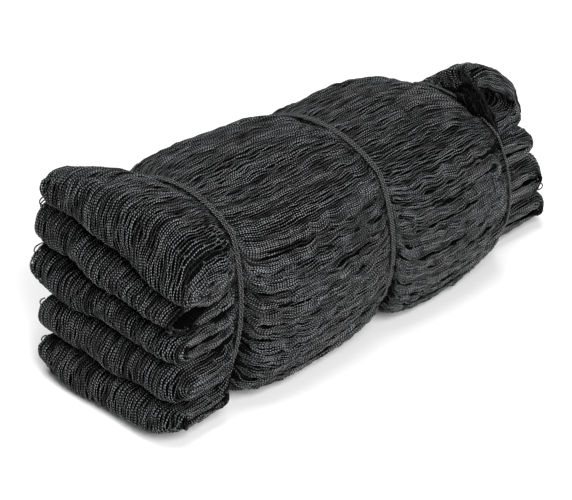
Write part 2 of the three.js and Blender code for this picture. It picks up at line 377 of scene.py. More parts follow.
def section_between(start, end, swell, part):
    """A section part of the way from one tie to the next."""
    full = math.sin(math.pi * part**SWELL_SKEW) ** SWELL_POWER
    sizes = {name: mix(getattr(start, name), getattr(end, name), part) for name in Tie._fields}
    for name in Swell._fields:
        sizes[name] = mix(sizes[name], getattr(swell, name), full)
    return Tie(**sizes)


def beside(tie, way):
    return tie._replace(x=tie.x + way * GROOVE_HALF)


def middle_sections():
    """Sections from the low tie to the high one, close together beside the ties."""
    sections = [beside(LOW_TIE, -1), LOW_TIE, beside(LOW_TIE, 1)]
    for start, end, swell in ((LOW_TIE, MIDDLE_TIE, LOW_SWELL), (MIDDLE_TIE, HIGH_TIE, HIGH_SWELL)):
        for step in range(1, SWELL_STOPS):
            part = (1 - math.cos(math.pi * step / SWELL_STOPS)) / 2
            sections.append(section_between(beside(start, 1), beside(end, -1), swell, part))
        sections += [beside(end, -1), end, beside(end, 1)]
    return sections


def layer_levels(section, layer):
    """The up values of a layer's upper and lower faces in a section."""
    half_gap = LAYER_GAP / 2 / section.high
    upper = 1 - 2 * layer / LAYERS - (0 if layer == 0 else half_gap)
    lower = 1 - 2 * (layer + 1) / LAYERS + (0 if layer == LAYERS - 1 else half_gap)
    return upper, lower


def layer_stop(section, layer):
    upper, lower = layer_levels(section, layer)

    def place(across, depth):
        return section_point(section, across, mix(upper, lower, depth))

    return Stop(place, 0, layer, "middle", 0, layer % 2 == 1)


# Folds and fans of the two ends

def crowned(pair, across):
    """A fold's height across it, with its arch at mid width added."""
    height = between_edges(pair, across)
    above = (height - CROWN_MIDDLE_Z) / CROWN_REACH
    crown = np.where(above > 0, CROWN_TOP, CROWN_BOTTOM) * above**3
    return height + crown * (1 - across**2)


def corner(across):
    """How far round its corner a fold is, from 0 along most of it to 1 at its edges."""
    start = np.clip((np.abs(across) - CORNER_START) / (1 - CORNER_START), 0, 1)
    return 1 - np.sqrt(1 - start**2)


def swept_back(fold, across, up):
    """How far a fold falls back at its corners; up is 0 at its bottom and 1 at its top."""
    at_top = np.where(across < 0, fold.sweep[0], fold.sweep[1])
    at_bottom = np.where(across < 0, fold.tuck[0], fold.tuck[1])
    return mix(at_bottom, at_top, up) * corner(across)


def eye_height(fold, across):
    top, bottom = crowned(fold.top, across), crowned(fold.bottom, across)
    return mix(bottom, top, between_edges(fold.eye, across))


def pinched(fold, across, height):
    """A height drawn in towards the eye of its fold at the corners."""
    pinch = np.where(across < 0, fold.pinch[0], fold.pinch[1]) * corner(across)
    return mix(height, eye_height(fold, across), pinch)


def end_faces(folds, number, position, across, gap_open):
    """Upper and lower faces of a layer where it meets its fold, or of a cut end beside a fold.
    gap_open goes from 0 at the tie, where layers touch, to 1 at the nose."""
    fold = folds[number]
    top = crowned(fold.top, across)
    bottom = crowned(fold.bottom, across)
    if position == "above":
        return top + CUT_END_GAP + CUT_END_THICKNESS, top + CUT_END_GAP
    if position == "below":
        return bottom - CUT_END_GAP, bottom - CUT_END_GAP - CUT_END_THICKNESS
    eye = eye_height(fold, across)
    hollow = between_edges(fold.hollow, across)
    half_hollow = hollow / 2 * gap_open ** ((SHUT_HOLLOW / hollow) ** 2)
    if position == "upper":
        shared = top if number == 0 else (top + crowned(folds[number - 1].bottom, across)) / 2
        return mix(shared, top, gap_open), eye + half_hollow
    last = number == len(folds) - 1
    shared = bottom if last else (bottom + crowned(folds[number + 1].top, across)) / 2
    return eye - half_hollow, mix(shared, bottom, gap_open)


def fan_stop(end, layer, number, position, part):
    """A stop between an outer tie and a fold's nose; part passes 1 where the nose starts."""
    fold = end.folds[number]
    groove = beside(end.tie, end.direction)
    upper, lower = layer_levels(groove, layer)
    opened = math.sin(math.pi / 2 * min(part, 1)) ** FAN_POWER
    gap_open = min(part / 2 + GAP_START, 1) ** GAP_POWER
    upper_side = position in ("upper", "above")

    def place(across, depth):
        at_tie = section_point(groove, across, mix(upper, lower, depth))
        slant = between_edges(fold.slant, across) / 2 * (1 if upper_side else -1)
        reach_out = end.direction * between_edges(fold.reach, across)
        nose_out = reach_out - between_edges(fold.nose, across) - slant
        open_out = np.minimum(end.direction * between_edges(end.open_x, across), nose_out - NOSE_RUN)
        if part > 1:
            x = end.direction * mix(open_out, nose_out, part - 1)
        else:
            x = mix(at_tie[..., 0], end.direction * open_out, part)
        y = mix(at_tie[..., 1], between_edges(fold.side, across), opened)
        faces = end_faces(end.folds, number, position, across, gap_open)
        at_fold = pinched(fold, across, mix(*faces, depth))
        z = mix(at_tie[..., 2], at_fold, opened)
        eye = between_edges(fold.eye, across)
        up = mix(1, eye, depth) if upper_side else mix(eye, 0, depth)
        x = x - end.direction * swept_back(fold, across, up) * opened
        return np.stack([x, y, z], axis=-1)

    zone = "low_fan" if end is LOW_END else "high_fan"
    return Stop(place, opened, layer, zone, part, layer % 2 == 1)


def nose_stop(end, layer, fold, part):
    """A stop part of the way round a fold's nose, from its upper layer down to its lower one."""
    angle = math.pi * (0.5 - part)
    in_upper_half = part < 0.5
    square = LOWER_SQUARENESS if part > 0.5 and fold.slant[0] > 0 else 0

    def place(across, depth):
        nose = between_edges(fold.nose, across)
        top = crowned(fold.top, across)
        bottom = crowned(fold.bottom, across)
        hollow = between_edges(fold.hollow, across)
        eye = eye_height(fold, across)
        eye_part = between_edges(fold.eye, across)
        high = mix(top - eye if in_upper_half else eye - bottom, hollow / 2, depth)
        deep = mix(nose, nose * np.maximum(hollow / (top - bottom), EYE_REACH), depth)
        up = eye_part + mix(1 - eye_part if in_upper_half else eye_part, 0, depth) * math.sin(angle)
        start_x = between_edges(fold.reach, across) - end.direction * (nose + swept_back(fold, across, up))
        slant = between_edges(fold.slant, across) * math.sin(angle) / 2
        x = start_x + end.direction * (deep * math.cos(angle) ** (1 - square) - slant)
        z = pinched(fold, across, eye + high * math.sin(angle))
        return np.stack([x, between_edges(fold.side, across), z], axis=-1)

    zone = "low_nose" if end is LOW_END else "high_nose"
    return Stop(place, 1, layer, zone, part, end.direction > 0)


def fan(end, layer):
    """Stops of one layer from an outer tie out to where it turns or stops."""
    parts = [step / FAN_STOPS for step in range(1, FAN_STOPS + 1)] + NOSE_APPROACH
    if end is LOW_END:
        number = layer // 2
        position = "lower" if layer % 2 else "upper"
    elif layer == 0:
        number, position = 0, "above"
        parts = [part for part in parts if part <= TOP_CUT_PART]
    elif layer == LAYERS - 1:
        number, position = len(HIGH_END_FOLDS) - 1, "below"
        parts = [part for part in parts if part <= LOWEST_CUT_PART]
    else:
        number = (layer - 1) // 2
        position = "upper" if layer % 2 else "lower"
    return [fan_stop(end, layer, number, position, part) for part in parts]


def band_stops():
    """Every stop along the band, from its top cut end to its lowest one."""
    stops = []
    for layer in range(LAYERS):
        middle = [layer_stop(section, layer) for section in middle_sections()]
        run = fan(LOW_END, layer)[::-1] + middle + fan(HIGH_END, layer)
        towards_low = layer % 2 == 0
        stops += run[::-1] if towards_low else run
        if layer == LAYERS - 1:
            break
        end = LOW_END if towards_low else HIGH_END
        fold = end.folds[layer // 2]
        stops += [nose_stop(end, layer, fold, step / NOSE_STOPS) for step in range(1, NOSE_STOPS)]
    return stops


# The band's surface

def strand_places():
    """Across, depth and face of every strand round the band: over the first face from front to
    back, down the back edge, over the second face and up the front edge."""
    face = FACE_EDGE * np.linspace(-1, 1, FACE_STRANDS)
    edge = (np.arange(EDGE_STRANDS) + 0.5) / EDGE_STRANDS
    across = np.concatenate([face, edge * 0 + 1, face[::-1], edge * 0 - 1])
    depth = np.concatenate([face * 0, edge, face * 0 + 1, 1 - edge])
    return across, depth, np.repeat(list(FACES), list(FACES.values()))


def strand_grid(stops, across, depth):
    """Points of every strand at every stop, with the band's edges rounded at its folds."""
    rows = []
    for stop in stops:
        rounded = across * (1 - EDGE_ROUNDING * stop.opened * (2 * depth - 1) ** 2)
        rows.append(stop.place(rounded, 1 - depth if stop.turned else depth))
    return np.array(rows)


def skin_directions(grid):
    """Outward and sideways directions of a grid of points; sideways is towards the next strand."""
    sideways = np.roll(grid, -1, axis=1) - np.roll(grid, 1, axis=1)
    forwards = np.gradient(grid, axis=0)
    outward = unit(np.cross(sideways, forwards))
    return outward, unit(sideways)


def lumps(points, size, seed):
    """A smooth uneven field, mostly between -1 and 1, with lumps of about that size."""
    random = np.random.default_rng(seed)
    total = np.zeros(points.shape[:-1])
    for _ in range(WAVES):
        direction = unit(random.normal(size=3))
        turns = points @ direction / (size * random.uniform(*WAVE_SPREAD))
        total += np.sin(2 * math.pi * (turns + random.uniform()))
    return total / math.sqrt(WAVES)


def along_twine(points, opened, size, drawn_out, seed):
    """Lumps drawn out the way that the twine runs: along X, and round the noses at the folds."""
    in_middle = lumps(points * (drawn_out, 1, 1), size, seed)
    at_folds = lumps(points * (drawn_out, 1, drawn_out), size, seed + 1)
    return mix(in_middle, at_folds, opened)


def furrow_depth(points, furrow):
    start, end = np.array(furrow.start), np.array(furrow.end)
    part = np.clip((points - start) @ (end - start) / ((end - start) @ (end - start)), 0, 1)
    distance = np.linalg.norm(points - start - part[..., None] * (end - start), axis=-1)
    fade = np.sin(math.pi * np.clip(part, FURROW_TAPER, 1 - FURROW_TAPER)) ** 0.5
    return furrow.depth * np.exp(-((distance / furrow.width) ** 2)) * fade


def beside_ties(points, width):
    """How near points are to a tie, from 1 at it down to 0 well beyond that width."""
    near = 0
    for tie in (LOW_TIE, MIDDLE_TIE, HIGH_TIE):
        leaning = tie.lean_up * (points[..., 2] - tie.z) + tie.lean_across * (points[..., 1] - tie.y)
        near = near + np.exp(-(((points[..., 0] - tie.x - leaning) / width) ** 2))
    return near


def pleats(points):
    """Ridges and troughs that run out from under the ties."""
    wavy = lumps(points * (PLEAT_ALONG, 1, 1), PLEAT_SIZE, PLEAT_SEED)
    return PLEAT_DEPTH * wavy * beside_ties(points, PLEAT_LENGTH)


def creased(points, opened):
    """How far into a crease points are, from 0 to 1. Creases run with the twine, and a few fine
    ones run across it."""
    along = along_twine(points, opened, CREASE_SIZE, ALONG_TWINE, CREASE_SEED)
    across = lumps(points * (1, ACROSS_TWINE, ACROSS_TWINE), CREASE_SIZE, CROSS_CREASE_SEED)
    in_along = np.exp(-((along / CREASE_WIDTH) ** 2))
    in_across = np.exp(-((across / CROSS_CREASE_WIDTH) ** 2)) * (1 - opened)
    return np.maximum(in_along, in_across * CROSS_CREASE_PART)


def relief(points, opened):
    """How far the netting's surface stands out or lies in at points of it."""
    height = LUMP_HEIGHT * mix(1, FOLD_LUMPS, opened) * lumps(points, LUMP_SIZE, LUMP_SEED)
    height += pleats(points) - CREASE_DEPTH * creased(points, opened)
    for furrow in FURROWS:
        height -= furrow_depth(points, furrow)
    return height


def showing_part(stops, faces):
    """How far each point of the band shows, from 0 between two layers to 1 outside them all."""
    part = np.array([[shows(stop, face) for face in faces] for stop in stops], float)
    for _ in range(SHOWING_BLUR):
        part[1:-1] = (part[:-2] + part[1:-1] + part[2:]) / 3
    return part


def skin_rings(grid, outward, faces):
    """Rings of points just under the twine, the number of the strand above each point of a ring,
    and each ring's length along the band."""
    at_edge = (faces == "front") | (faces == "back")
    depth = np.where(at_edge, EDGE_SKIN_DEPTH, SKIN_DEPTH)[None, :, None]
    rings = (grid - outward * depth)[:, ::SKIN_STRAND_STEP]
    rings[..., 2] = np.maximum(rings[..., 2], LOWEST_SKIN)
    numbers = np.cumsum(np.where(at_edge, 1 / EDGE_SPACING, 1))[::SKIN_STRAND_STEP]
    lengths = added_up(np.linalg.norm(np.diff(grid, axis=0), axis=2).mean(axis=1))
    return rings, numbers, lengths


def add_skin(name, rings, numbers, lengths):
    """A closed skin, drawn out ring by ring along the band. Its points keep the number of their
    strand and their length along the band, for its look."""
    shape = bmesh.new()
    number_field = shape.verts.layers.float.new("strand")
    length_field = shape.verts.layers.float.new("length")
    ring = [shape.verts.new(point) for point in rings[0]]
    for vert, number in zip(ring, numbers):
        vert[number_field] = number
    edges = [shape.edges.new(pair) for pair in zip(ring, ring[1:] + ring[:1])]
    shape.faces.new(ring)
    for points, length in zip(rings[1:], lengths[1:]):
        drawn = bmesh.ops.extrude_edge_only(shape, edges=edges)["geom"]
        fresh = {vert for vert in drawn if isinstance(vert, bmesh.types.BMVert)}
        ring = [next(e.other_vert(v) for e in v.link_edges if e.other_vert(v) in fresh) for v in ring]
        for vert, point, number in zip(ring, points, numbers):
            vert.co = point
            vert[number_field] = number
            vert[length_field] = length
        edges = [edge for edge in drawn
                 if isinstance(edge, bmesh.types.BMEdge) and fresh.issuperset(edge.verts)]
    shape.faces.new(ring)
    bmesh.ops.recalc_face_normals(shape, faces=shape.faces)
    return finish_mesh(name, shape)


def add_object(name, data):
    added = bpy.data.objects.new(name, data)
    bpy.context.scene.collection.objects.link(added)
    return added


def finish_mesh(name, shape):
    mesh = bpy.data.meshes.new(name)
    shape.to_mesh(mesh)
    shape.free()
    mesh.shade_smooth()
    return add_object(name, mesh)


# Strands of the mesh

def even_marks(grid):
    """Even marks along the band, as stop numbers with fractions."""
    steps = np.linalg.norm(np.diff(grid, axis=0), axis=2)
    distance = added_up(np.percentile(steps, STEP_PERCENTILE, axis=1))
    marks = np.arange(0, distance[-1], BAR_LENGTH / BAR_STEPS)
    return np.interp(marks, distance, np.arange(len(grid)))


def at_marks(values, marks):
    """Values that are given stop by stop, at marks along the band."""
    before = np.minimum(marks.astype(int), len(values) - 2)
    part = (marks - before).reshape(-1, *[1] * (values.ndim - 1))
    return mix(values[before], values[before + 1], part)


def wander(shape, every, random):
    """Smooth random values from -1 to 1 along each strand, with a new one each few marks."""
    count, strands = shape
    steps = np.arange(count)[:, None] / every + random.uniform(size=strands)
    index = steps.astype(int)
    values = random.uniform(-1, 1, (index.max() + 2, strands))
    blend = steps - index
    blend = blend * blend * (3 - 2 * blend)
    columns = np.arange(strands)
    return mix(values[index, columns], values[index + 1, columns], blend)


def at_high_end(stop):
    return stop.zone.startswith("high")


def shows(stop, face):
    """Whether a face or an edge of the band shows at a stop, or lies between two layers."""
    if face in ("front", "back"):
        return True
    outermost = stop.layer in (0, LAYERS - 1)
    if face == "first":
        in_arch = at_high_end(stop) and stop.layer in (1, 2)
        at_low_fold = stop.zone == "low_nose" or (stop.zone == "low_fan" and stop.part > LOW_END_BARE)
        return outermost or in_arch or at_low_fold
    bare_from = 0 if stop.layer == 1 else HIGH_END_BARE
    at_high_fold = stop.zone == "high_nose" or (stop.zone == "high_fan" and stop.part > bare_from)
    return at_high_fold and not outermost


def piece_showing(stop, face, number):
    """The piece that a strand belongs to at a stop, or nothing where the strand is left out;
    number counts the strands of its face."""
    at_end = PIECE_AT_END.get(stop.zone.split("_")[0], "")
    if face in ("front", "back"):
        thick = face == "front" and at_end == "netting_low_folds" and stop.layer == 0
        spacing = BACK_SPACING if face == "back" else EDGE_SPACING
        return (at_end or "netting_" + face) if thick or number % spacing == 0 else ""
    underneath = stop.layer == LAYERS - 1 and not at_end and number % UNDERSIDE_SPACING
    sinking = stop.zone == "high_fan" and stop.part < 1
    spare = at_high_end(stop) and number % HIGH_END_SPACING and not sinking
    if underneath or spare or not shows(stop, face):
        return ""
    return at_end or ("netting_top" if stop.layer == 0 else "netting_underside")


def sunk(stop, face, number):
    """How far a spare strand sinks away under the others beyond the high tie."""
    spare = face in ("first", "second") and number % HIGH_END_SPACING
    return SINK_DEPTH * min(stop.part, 1) if spare and stop.zone == "high_fan" else 0


def levelled(directions, faces, opened):
    """Directions that are alike all over each edge of the band, apart from its folds."""
    for face in ("front", "back"):
        edge = np.flatnonzero(faces == face)
        level = directions[:, edge[EDGE_STRANDS // 2]][:, None]
        directions[:, edge] = unit(mix(level, directions[:, edge], opened[..., None]))
    return directions


def slants(points, opened, rows):
    """How far the knots draw the strands sideways. Whole patches of bars slant one way between
    two rows of knots, and another way beyond."""
    row = np.floor(rows)
    this_row, next_row = (
        along_twine(points + number[..., None] * ROW_APART, opened, SLANT_SIZE, SLANT_ALONG, SLANT_SEED)
        for number in (row, row + 1)
    )
    return mix(this_row, next_row, rows - row)


def shifted_aside(points, upward, opened, rows, calm, random):
    """How far the strands lie to one side of their even places."""
    shape = points.shape[:2]
    aside = WEAVE_SIDEWAYS * along_twine(points, opened, WEAVE_SIZE, WEAVE_ALONG, WEAVE_SEED)
    aside += WEAVE_SIDEWAYS / 2 * along_twine(points, opened, FINE_WEAVE_SIZE, WEAVE_ALONG, FINE_WEAVE_SEED)
    loose = LOOSE_MIDDLE + LOOSE_SPREAD * lumps(points, LOOSE_SIZE, LOOSE_SEED) - TOP_TIGHT * upward
    restless = STRAND_SIDEWAYS * wander(shape, COARSE_WANDER, random)
    restless += STRAND_SIDEWAYS / 2 * wander(shape, FINE_WANDER, random)
    even = (-1) ** np.arange(shape[1])
    aside += np.maximum(loose, LOOSE_LOWEST) * (ZIGZAG * np.cos(math.pi * rows) * even + restless)
    return aside + SLANT_SIDEWAYS * calm * slants(points, opened, rows)


def strand_tones_and_shade(points, opened, height, bulge, calm, random):
    """How light the strands are. Each has its own tone, and painted shade makes them darker where they
    lie low, in creases, at rows of knots and beside ties."""
    own = TONE_MIDDLE + TONE_SPREAD * random.uniform(-1, 1, points.shape[1])
    tone = np.clip(own + PAINTED_SHADE_BY_HEIGHT * height, *TONE_RANGE)
    tone *= 1 - CREASE_SHADE * creased(points, opened)
    tone *= 1 - ROW_SHADE * calm * (1 - bulge) ** 2
    return tone * (1 - TIE_SHADE * beside_ties(points, TIE_SHADE_WIDTH))


Strands = namedtuple("Strands", "points outward radius tone knots knot_points owner")


def lay_strands(stops, grid, outward, sideways, faces):
    """Strands over the skin at even marks, with their knots and the piece that owns each point."""
    random = np.random.default_rng(SEED)
    marks = even_marks(grid)
    opened = at_marks(np.array([stop.opened for stop in stops], float), marks)[:, None]
    points, out, side = (at_marks(values, marks) for values in (grid, outward, sideways))
    out, side = levelled(out, faces, opened), levelled(side, faces, opened)
    shape = points.shape[:2]
    spacing = np.linalg.norm(np.roll(points, -1, axis=1) - points, axis=-1)
    rows = np.arange(len(marks))[:, None] / BAR_STEPS
    rows = rows + ROW_SHIFT * lumps(points, ROW_SHIFT_SIZE, ROW_SEED)
    bulge = np.sin(math.pi * (rows - np.floor(rows)))
    upward = np.maximum(out[..., 2], 0)
    calm = (1 - TOP_CALM * upward) * mix(1, 1 - FOLD_CALM, opened)
    aside = shifted_aside(points, upward, opened, rows, calm, random)
    height = COARSE_PART * wander(shape, COARSE_WANDER, random)
    height += (1 - COARSE_PART) * wander(shape, FINE_WANDER, random)
    raised = STRAND_HEIGHT * height - TWINE_RADIUS + BAR_BULGE * calm * (bulge - 0.5)
    numbered = [(face, number) for face, count in FACES.items() for number in range(count)]
    raised -= at_marks(np.array([[sunk(stop, *strand) for strand in numbered] for stop in stops]), marks)
    points = points + side * aside[..., None] + out * raised[..., None]
    owners = np.array([[piece_showing(stop, *strand) for strand in numbered] for stop in stops])
    thicker = at_marks(np.array([at_high_end(stop) for stop in stops], float), marks)[:, None]
    radius = TWINE_RADIUS * random.uniform(*RADIUS_SPREAD, shape[1]) * mix(1, HIGH_END_RADIUS, thicker)
    points[..., 2] = np.maximum(points[..., 2], radius)
    # Tones: each strand's own, with painted shade where it lies low, in creases, at rows of knots and
    # beside ties.
    tone = strand_tones_and_shade(points, opened, height, bulge, calm, random)
    knots = np.abs(rows - np.rint(rows)) < 0.5 / BAR_STEPS
    knots &= (np.rint(rows).astype(int) + np.arange(shape[1])) % 2 == 0
    knot_points = points + side * (spacing * KNOT_ASIDE)[..., None]
    knot_points[..., 2] = np.maximum(knot_points[..., 2], KNOT_RADIUS)
    return Strands(points, out, radius, tone, knots, knot_points, owners[np.rint(marks).astype(int)])


def twine_runs(strands, name):
    """Unbroken runs of the twine that one piece owns: points, outward directions, radii, and tones
    with their painted shade.
    """
    runs = []
    owned = strands.owner == name
    for strand in np.flatnonzero(owned.any(axis=0)):
        here = np.concatenate([[False], owned[:, strand], [False]])
        changes = np.flatnonzero(here[1:] != here[:-1])
        for start, end in zip(changes[::2], changes[1::2]):
            end = min(end + 1, len(owned))
            if end - start >= SHORTEST_RUN:
                span = slice(start, end)
                runs.append((strands.points[span, strand], strands.outward[span, strand],
                             strands.radius[span, strand], strands.tone[span, strand]))
    return runs


def tube_points(points, out, radius):
    """Rings of points round a run of twine."""
    angles = 2 * math.pi * np.arange(TWINE_SIDES) / TWINE_SIDES
    along = unit(np.gradient(points, axis=0))
    side = unit(np.cross(along, out))
    up = np.cross(side, along)
    spoke = np.cos(angles)[None, :, None] * up[:, None] + np.sin(angles)[None, :, None] * side[:, None]
    return (points[:, None] + radius[:, None, None] * spoke).reshape(-1, 3)


def tube_uvs(points, phase):
    """The length along a run and the turn round it, at the corners of its tube's faces."""
    length = lengths_along(points) + phase
    near = np.tile(length[:-1, None], TWINE_SIDES)
    far = np.tile(length[1:, None], TWINE_SIDES)
    turn = np.tile(np.arange(TWINE_SIDES) / TWINE_SIDES, (len(points) - 1, 1))
    next_turn = turn + 1 / TWINE_SIDES
    corners = [(near, turn), (near, next_turn), (far, next_turn), (far, turn)]
    return np.stack([np.stack(pair, axis=-1) for pair in corners], axis=2).reshape(-1, 2)


def lay_twine(name, runs):
    """Closed tubes of twine along runs, joined in one mesh, with length and turn as its UV map."""
    corners = np.arange(TWINE_SIDES)
    next_corners = (corners + 1) % TWINE_SIDES
    phases = np.random.default_rng(SEED)
    vertices, quads, caps, uvs, tones = [], [], [], [], []
    base = 0
    for points, out, radius, tone in runs:
        last = base + (len(points) - 1) * TWINE_SIDES
        vertices.append(tube_points(points, out, radius))
        tones.append(np.repeat(tone, TWINE_SIDES))
        starts = np.arange(base, last, TWINE_SIDES)[:, None]
        here, beyond = starts + corners, starts + next_corners
        rings = [here, beyond, beyond + TWINE_SIDES, here + TWINE_SIDES]
        quads.append(np.stack(rings, axis=-1).reshape(-1, 4))
        uvs.append(tube_uvs(points, phases.uniform(0, TWINE_LAY)))
        caps += [(base + corners[::-1]).tolist(), (last + corners).tolist()]
        base = last + TWINE_SIDES
    return mesh_piece(name, np.concatenate(vertices), np.concatenate(quads).tolist() + caps,
                      np.concatenate(tones), np.concatenate(uvs))


def loose_loops():
    """Runs of twine for the loose loops: each comes out of the fold, turns and goes back in."""
    turn = np.linspace(-LOOP_TURN, LOOP_TURN, LOOP_MARKS)
    twist = LOOP_TWIST * np.sin(turn * LOOP_TWIST_RATE)
    radius = np.full(LOOP_MARKS, TWINE_RADIUS)
    tone = np.full(LOOP_MARKS, LOOP_TONE)
    runs = []
    for loop in LOOPS:
        way = math.copysign(1, loop.place[0])
        around = np.stack([np.cos(turn) * way, twist, np.sin(turn)], axis=-1)
        points = np.array(loop.place) + around * (loop.out, loop.high, loop.high)
        runs.append((points, unit(around * LOOP_SPREAD + LOOP_FACING), radius, tone))
    return runs


def tie_knots(name, centres, tones, radius):
    """Small eight-sided knots, joined in one mesh."""
    tips = radius * np.array([(1, 0, 0), (0, 1, 0), (-1, 0, 0), (0, -1, 0), (0, 0, 1), (0, 0, -1)])
    sides = [(0, 1, 4), (1, 2, 4), (2, 3, 4), (3, 0, 4), (1, 0, 5), (2, 1, 5), (3, 2, 5), (0, 3, 5)]
    vertices = (centres[:, None] + tips).reshape(-1, 3)
    faces = (np.arange(len(centres))[:, None, None] * len(tips) + np.array(sides)).reshape(-1, 3)
    return mesh_piece(name, vertices, faces.tolist(), np.repeat(tones, len(tips)))


def mesh_piece(name, vertices, faces, tones, uvs=None):
    """A piece made from arrays, with a tone at each point, which on the netting holds painted shade,
    and a UV map.
    """
    mesh = bpy.data.meshes.new(name)
    mesh.from_pydata(vertices.tolist(), [], faces)
    corners = np.zeros((len(mesh.loops), 2), np.float32)
    if uvs is not None:
        corners[: len(uvs)] = uvs
    mesh.uv_layers.new(name="UVMap").data.foreach_set("uv", corners.ravel())
    tone_field = mesh.attributes.new("tone", "FLOAT", "POINT")
    tone_field.data.foreach_set("value", tones.astype(np.float32))
    mesh.shade_smooth()
    return add_object(name, mesh)


# Ties

def tie_path(tie, offset):
    """Points and outward directions round a section, a little outside it."""
    turn = np.linspace(0, 2 * math.pi, TIE_PATH_MARKS)
    square = np.maximum(np.abs(np.cos(turn)), np.abs(np.sin(turn)))
    section = tie._replace(x=tie.x + offset)
    points = section_point(section, np.cos(turn) / square, np.sin(turn) / square)
    along = unit(np.gradient(points, axis=0))
    outward = unit(np.cross(along, (1, 0, 0)))
    centre = np.array([section.x, section.y, section.z])
    outward *= np.sign(np.sum(outward * (points - centre), axis=-1, keepdims=True))
    return points + outward * TIE_STAND, outward


def add_tie(name, tie, offset):
    """A ring of plied twine, its three plies laid round each other."""
    path, outward = tie_path(tie, offset)
    length = lengths_along(path)
    lays = round(length[-1] / TIE_LAY)
    marks = np.linspace(0, length[-1], lays * TIE_STEPS_A_LAY + 1)
    points, out = (
        np.stack([np.interp(marks, length, values[:, axis]) for axis in range(3)], axis=-1)
        for values in (path, outward)
    )
    out = unit(out)
    beside_path = unit(np.cross(unit(np.gradient(points, axis=0)), out))
    ply_radius = TIE_RADIUS / (1 + 2 / math.sqrt(3))
    radius = np.full(len(marks), ply_radius * PLY_FULLNESS)
    tone = np.ones(len(marks))
    runs = []
    # Each ply's outward spoke is where the twine material paints its highlight, with painted shade on its
    # flanks.
    for ply in range(TIE_PLIES):
        turn = (2 * math.pi * (marks / marks[-1] * lays + ply / TIE_PLIES))[:, None]
        spoke = out * np.cos(turn) + beside_path * np.sin(turn)
        runs.append((points + spoke * (TIE_RADIUS - ply_radius), spoke, radius, tone))
    return lay_twine(name, runs)


# Materials

def new_material(name, colour, roughness):
    """A material, its nodes and its shader."""
    material = bpy.data.materials.new(name)
    material.use_nodes = True
    shader = material.node_tree.nodes["Principled BSDF"]
    shader.inputs["Base Color"].default_value = (*colour, 1)
    shader.inputs["Roughness"].default_value = roughness
    return material, material.node_tree, shader


def maths(tree, operation, *values):
    """A maths node on numbers or sockets; gives its result."""
    node = tree.nodes.new("ShaderNodeMath")
    node.operation = operation
    for socket, value in zip(node.inputs, values):
        if isinstance(value, (int, float)):
            socket.default_value = value
        else:
            tree.links.new(value, socket)
    return node.outputs[0]


def blended(tree, amount, dark, light):
    """A colour between two, by a socket's value."""
    node = tree.nodes.new("ShaderNodeMix")
    node.data_type = "RGBA"
    first_colour, second_colour, result = node.inputs[6], node.inputs[7], node.outputs[2]
    tree.links.new(amount, node.inputs[0])
    for socket, colour in ((first_colour, dark), (second_colour, light)):
        if isinstance(colour, tuple):
            socket.default_value = (*colour, 1)
        else:
            tree.links.new(colour, socket)
    return result


def noise_over(tree, scale):
    place = tree.nodes.new("ShaderNodeTexCoord")
    noise = tree.nodes.new("ShaderNodeTexNoise")
    noise.inputs["Scale"].default_value = scale
    tree.links.new(place.outputs["Object"], noise.inputs["Vector"])
    return noise.outputs[0]


def point_value(tree, name):
    """A number that each point of the mesh keeps."""
    node = tree.nodes.new("ShaderNodeAttribute")
    node.attribute_name = name
    return node.outputs["Fac"]


def twine_material(name, dark, light, tint, lay):
    """Twisted twine: plies show as slanting ridges along it, with painted shade between them, a
    painted highlight runs along its outward crown, and its colour varies a little.
    """
    material, tree, shader = new_material(name, dark, TWINE_ROUGHNESS)
    shader.inputs["Specular IOR Level"].default_value = TWINE_SHEEN
    uv = tree.nodes.new("ShaderNodeUVMap")
    uv.uv_map = "UVMap"
    split = tree.nodes.new("ShaderNodeSeparateXYZ")
    tree.links.new(uv.outputs["UV"], split.inputs[0])
    lays = maths(tree, "MULTIPLY", split.outputs["X"], 2 * math.pi * TWINE_PLIES / lay)
    turn = maths(tree, "MULTIPLY", split.outputs["Y"], 2 * math.pi)
    plies = maths(tree, "SINE", maths(tree, "ADD", turn, lays))
    ridge = maths(tree, "MULTIPLY_ADD", plies, 0.5, 0.5)
    bump = tree.nodes.new("ShaderNodeBump")
    bump.inputs["Distance"].default_value = PLY_BUMP
    tree.links.new(ridge, bump.inputs["Height"])
    tree.links.new(bump.outputs["Normal"], shader.inputs["Normal"])
    # Painted highlight: lightest along the side of each strand that faces out, falling to painted shade on
    # its flanks.
    painted_highlight_facing = maths(tree, "MAXIMUM", maths(tree, "COSINE", turn), 0)
    crown = maths(tree, "POWER", painted_highlight_facing, PAINTED_HIGHLIGHT_SHARPNESS)
    # Painted shade between the plies: the painted highlight is cut down in the grooves between ply ridges.
    plied = maths(tree, "MULTIPLY", crown, maths(tree, "POWER", ridge, PLY_SHADE_SHARPNESS))
    # The tone holds each strand's own tone and its painted shade.
    own_and_painted_lightness = maths(tree, "MULTIPLY", point_value(tree, "tone"), plied)
    drift = maths(tree, "MULTIPLY_ADD", noise_over(tree, DRIFT_SCALE), DRIFT_CONTRAST, DRIFT_SHIFT)
    # The painted highlight colour drifts at random into a tinted one.
    drifting_highlight = blended(tree, drift, light, tint)
    tree.links.new(blended(tree, own_and_painted_lightness, dark, drifting_highlight), shader.inputs["Base Color"])
    return material


